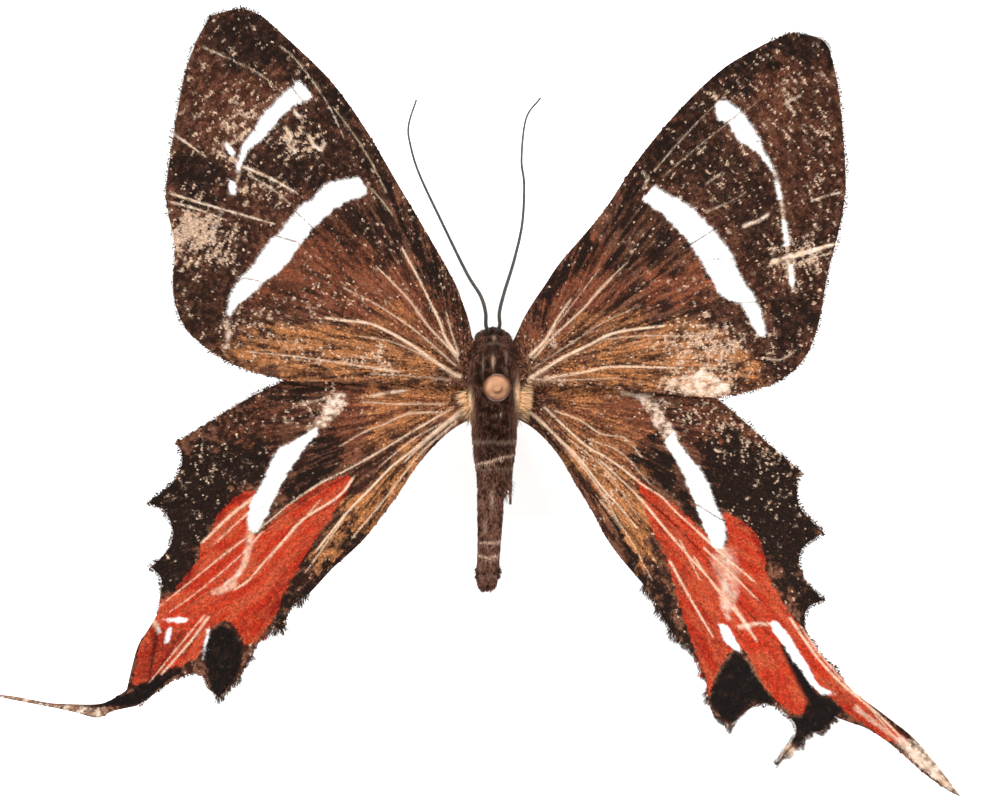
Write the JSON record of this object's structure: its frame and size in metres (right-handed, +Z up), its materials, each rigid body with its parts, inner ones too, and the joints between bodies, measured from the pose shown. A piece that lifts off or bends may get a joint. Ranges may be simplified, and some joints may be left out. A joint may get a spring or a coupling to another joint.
{
  "type": "pinned erateina moth",
  "caption": "Spread and pinned long-tailed erateina moth on a small white block, dark brown with white bands and red hindwing patches.",
  "frame": {"origin": "centre of the white block's underside, under the pin", "axes": "+Z up along the pin, +Y to the moth's head, +X to the moth's right as seen from above"},
  "size_m": [0.048, 0.0394, 0.04],
  "materials": {
    "head_brown": "dark brown hair and scales",
    "eye_dark": "dark glossy facets",
    "antenna_grey": "dark grey, matt",
    "palp_brown": "brown scales",
    "proboscis_tan": "tan, satin",
    "body_brown": "near-black brown hair",
    "abdomen_brown": "purplish brown scales with cream rings",
    "forewing_brown": "dark brown scales, white bands, cream veins",
    "hindwing_brown": "brown scales, white band, red-orange patch",
    "leg_brown": "brown scales",
    "pin_steel": "bright steel with a copper-coloured head",
    "base_white": "matt white paint"
  },
  "bodies": {
    "root": {"head": "head_brown", "eye_left": "eye_dark", "eye_right": "eye_dark", "antenna_left": "antenna_grey", "antenna_right": "antenna_grey", "palp_left": "palp_brown", "palp_right": "palp_brown", "proboscis": "proboscis_tan", "thorax": "body_brown", "abdomen": "abdomen_brown", "forewing_left": "forewing_brown", "forewing_right": "forewing_brown", "hindwing_left": "hindwing_brown", "hindwing_right": "hindwing_brown", "leg_front_left": "leg_brown", "leg_front_right": "leg_brown", "leg_mid_left": "leg_brown", "leg_mid_right": "leg_brown", "leg_hind_left": "leg_brown", "leg_hind_right": "leg_brown", "stand_pin_upper": "pin_steel", "stand_pin_lower": "pin_steel", "stand_base": "base_white"}
  },
  "joints": []
}
